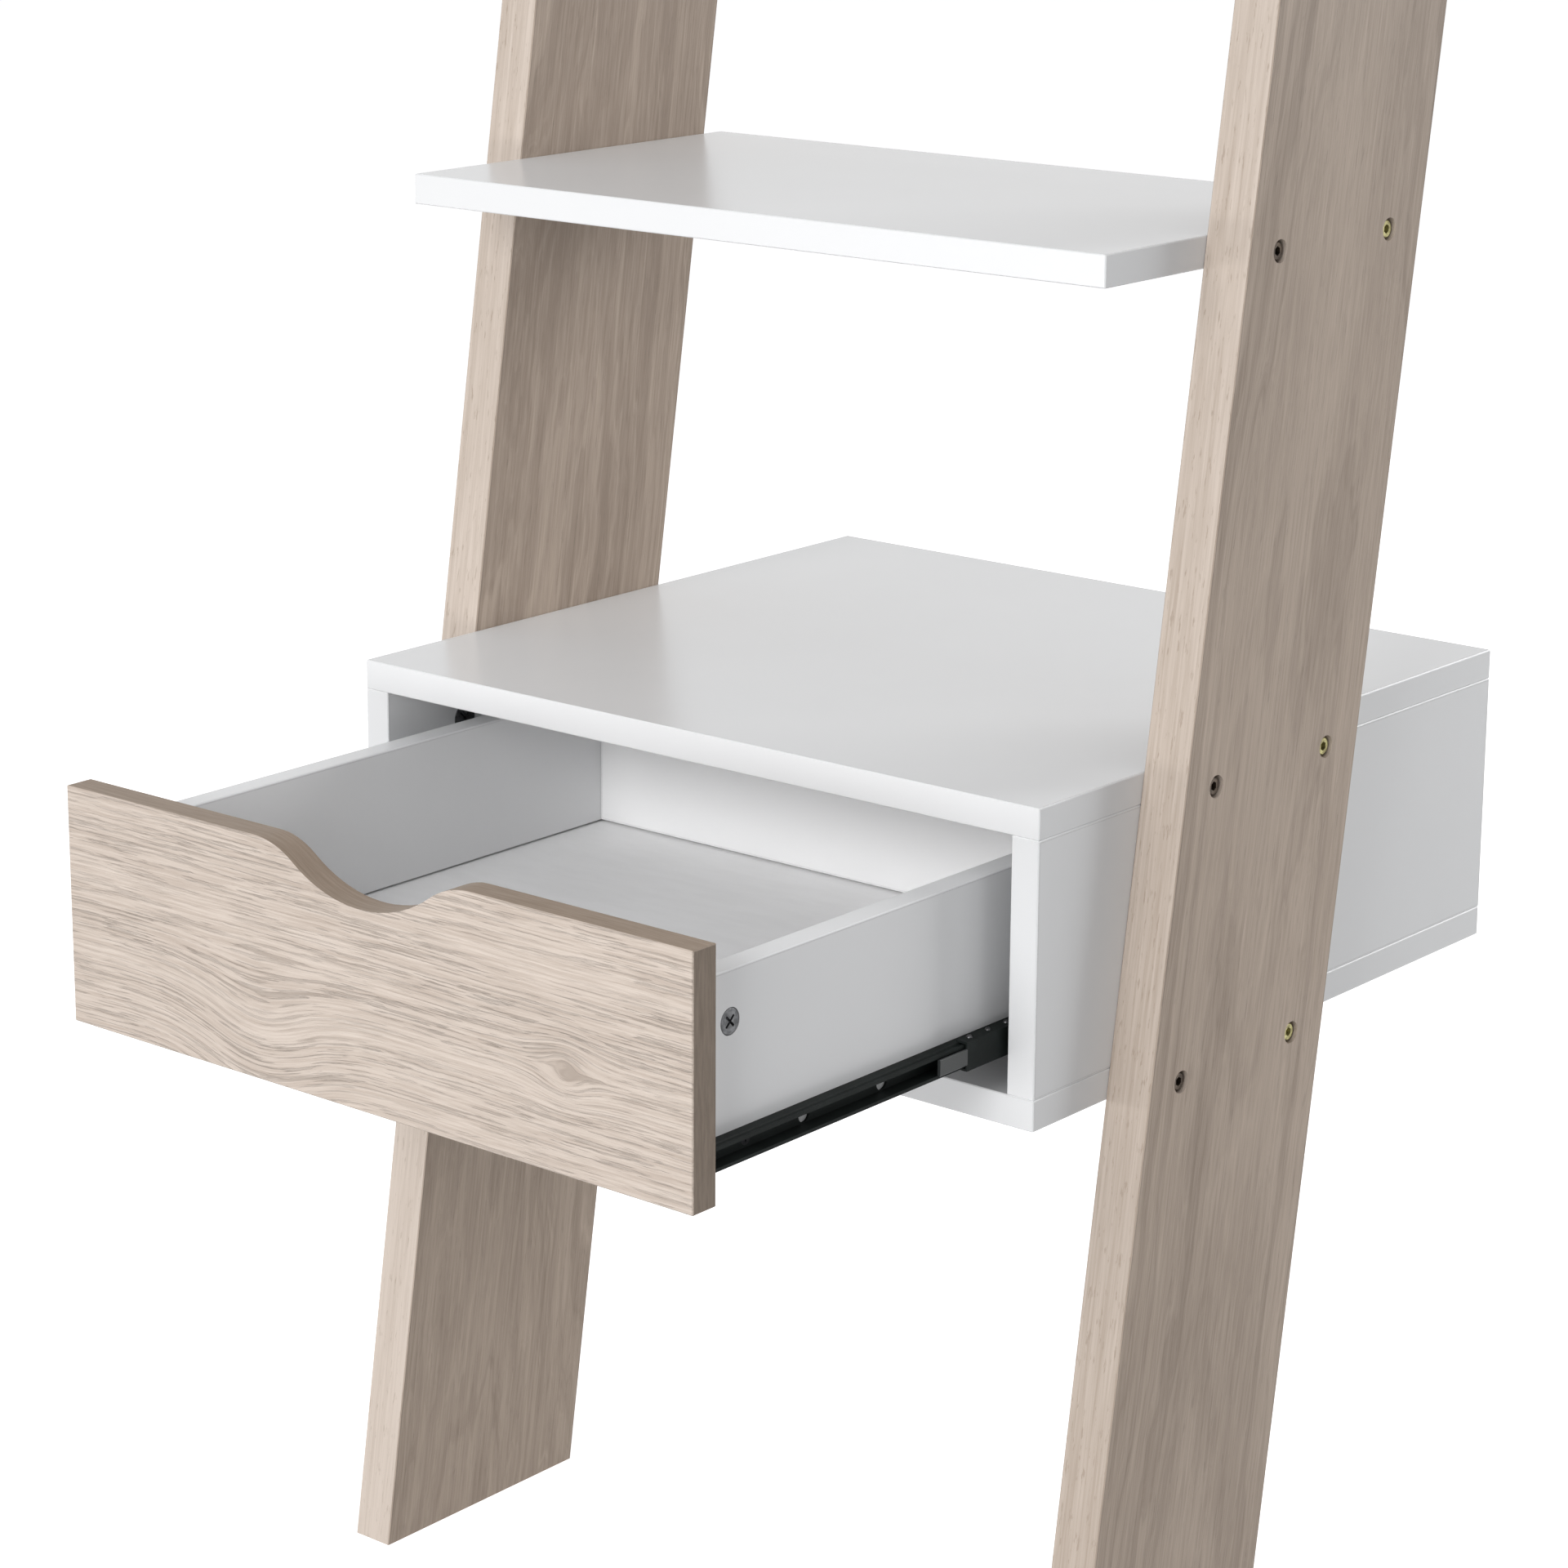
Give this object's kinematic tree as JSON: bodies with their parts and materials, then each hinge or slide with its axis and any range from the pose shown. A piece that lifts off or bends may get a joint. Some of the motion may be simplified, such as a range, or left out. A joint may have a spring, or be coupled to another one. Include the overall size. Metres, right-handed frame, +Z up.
{
  "type": "ladder shelf",
  "caption": "Leaning ladder shelf: two sloping legs carry plain shelves and a low cabinet with an inset drawer that slides out on ball-bearing rails.",
  "frame": {"origin": "on the floor, midway between left and right and midway between the wall and the open drawer's front", "axes": "+X to the right seen from the front, +Y towards the wall, +Z up"},
  "size_m": [0.468, 0.605, 1.54],
  "materials": {
    "leg_oak": "pale greige oak-effect foil on board, matt, fine grain",
    "front_oak": "light oak-effect foil with embossed grain, matt",
    "white_melamine": "white melamine-faced board, satin",
    "white_board": "white lacquered hardboard, satin",
    "beech": "plain beech, fluted and compressed",
    "yellow_zinc": "yellow-passivated zinc plate",
    "bright_zinc": "bright zinc plate",
    "cast_zinc": "die-cast zinc, dull",
    "black_rail": "black-coated rolled steel, satin",
    "black_screw": "black-plated steel",
    "ball_steel": "polished bearing steel",
    "grey_plastic": "grey moulded plastic"
  },
  "bodies": {
    "frame": {"left_leg": "leg_oak", "right_leg": "leg_oak", "shelf_1": "white_melamine", "shelf_2": "white_melamine", "shelf_3": "white_melamine", "shelf_4": "white_melamine", "cabinet_top": "white_melamine", "cabinet_bottom": "white_melamine", "cabinet_left_side": "white_melamine", "cabinet_right_side": "white_melamine", "cabinet_back": "white_board", "left_leg_screws": "yellow_zinc", "right_leg_screws": "yellow_zinc", "leg_dowels": "beech", "cabinet_cams": "cast_zinc", "cabinet_cam_bolts": "bright_zinc", "cabinet_dowels": "beech", "cabinet_bottom_screws": "yellow_zinc", "left_cabinet_rail": "black_rail", "right_cabinet_rail": "black_rail", "cabinet_rail_screws": "black_screw", "left_wall_bracket": "bright_zinc", "right_wall_bracket": "bright_zinc", "bracket_screws": "bright_zinc"},
    "drawer": {"drawer_front": "front_oak", "drawer_left_side": "white_melamine", "drawer_right_side": "white_melamine", "drawer_back": "white_melamine", "drawer_bottom": "white_board", "drawer_cams": "cast_zinc", "drawer_cam_bolts": "bright_zinc", "drawer_dowels": "beech", "drawer_back_screws": "bright_zinc", "drawer_bottom_screws": "bright_zinc", "left_drawer_rail": "black_rail", "right_drawer_rail": "black_rail", "drawer_rail_screws": "black_screw"},
    "left_cage": {"left_ball_cage": "black_rail", "left_balls": "ball_steel", "left_cage_block": "grey_plastic"},
    "right_cage": {"right_ball_cage": "black_rail", "right_balls": "ball_steel", "right_cage_block": "grey_plastic"}
  },
  "joints": [
    {"name": "drawer_slide", "type": "slide", "parent": "frame", "child": "drawer", "axis": [0, -1, 0], "range_m": [-0.215, 0.005]},
    {"name": "left_cage_slide", "type": "slide", "parent": "frame", "child": "left_cage", "axis": [0, -1, 0], "range_m": [-0.1076, 0.0026]},
    {"name": "right_cage_slide", "type": "slide", "parent": "frame", "child": "right_cage", "axis": [0, -1, 0], "range_m": [-0.1076, 0.0026]}
  ],
  "couplings": [
    {"joint": "left_cage_slide", "follows": "drawer_slide", "ratio": 0.5},
    {"joint": "right_cage_slide", "follows": "drawer_slide", "ratio": 0.5}
  ]
}
